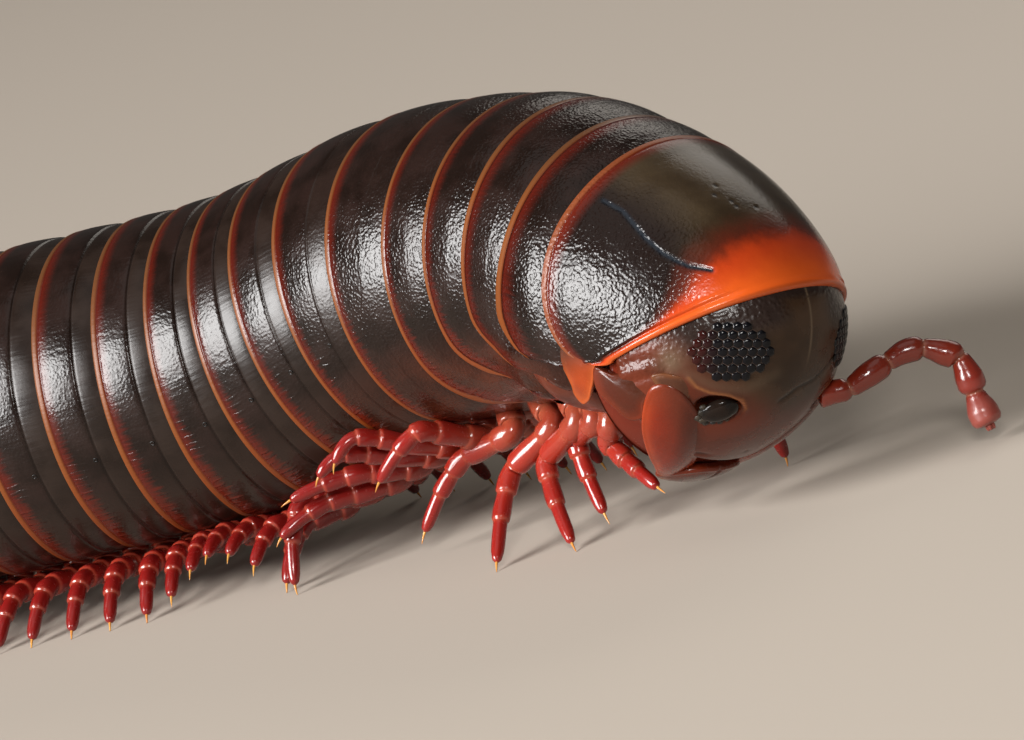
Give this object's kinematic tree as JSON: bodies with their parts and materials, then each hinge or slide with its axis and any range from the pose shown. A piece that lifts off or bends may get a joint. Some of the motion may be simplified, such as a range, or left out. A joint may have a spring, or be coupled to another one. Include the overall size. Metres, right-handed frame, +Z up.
{
  "type": "spirobolid millipede",
  "caption": "Life-size standing model of a large round-backed millipede, head lowered and body gently curved, dark rings with amber edges and many short red legs.",
  "frame": {"origin": "centre of the bounding box's footprint, on the floor that the feet stand on", "axes": "+X along the body towards the head, +Y to the animal's left, +Z up"},
  "size_m": [0.1028, 0.0218, 0.0127],
  "materials": {
    "shell": "glossy black-brown chitin with amber hind edges",
    "collum": "glossy leathery chitin with an orange-red front band",
    "head": "glossy olive-brown to reddish chitin",
    "eye": "glossy black ocelli",
    "mouthpart": "glossy translucent orange-red chitin",
    "feeler": "glossy dark red chitin",
    "scab": "glossy black-brown scab"
  },
  "bodies": {
    "root": {"head": "head", "collum": "collum", "eye_left": "eye", "eye_right": "eye", "mandible_left": "mouthpart", "mandible_right": "mouthpart", "gnathochilarium": "mouthpart", "antenna_left": "feeler", "antenna_stump_right": "scab", "trunk_1": "shell", "trunk_2": "shell", "trunk_3": "shell", "trunk_4": "shell", "trunk_5": "shell", "trunk_6": "shell", "trunk_7": "shell", "trunk_8": "shell", "preanal_ring": "shell", "anal_valve_left": "shell", "anal_valve_right": "shell"}
  },
  "joints": []
}
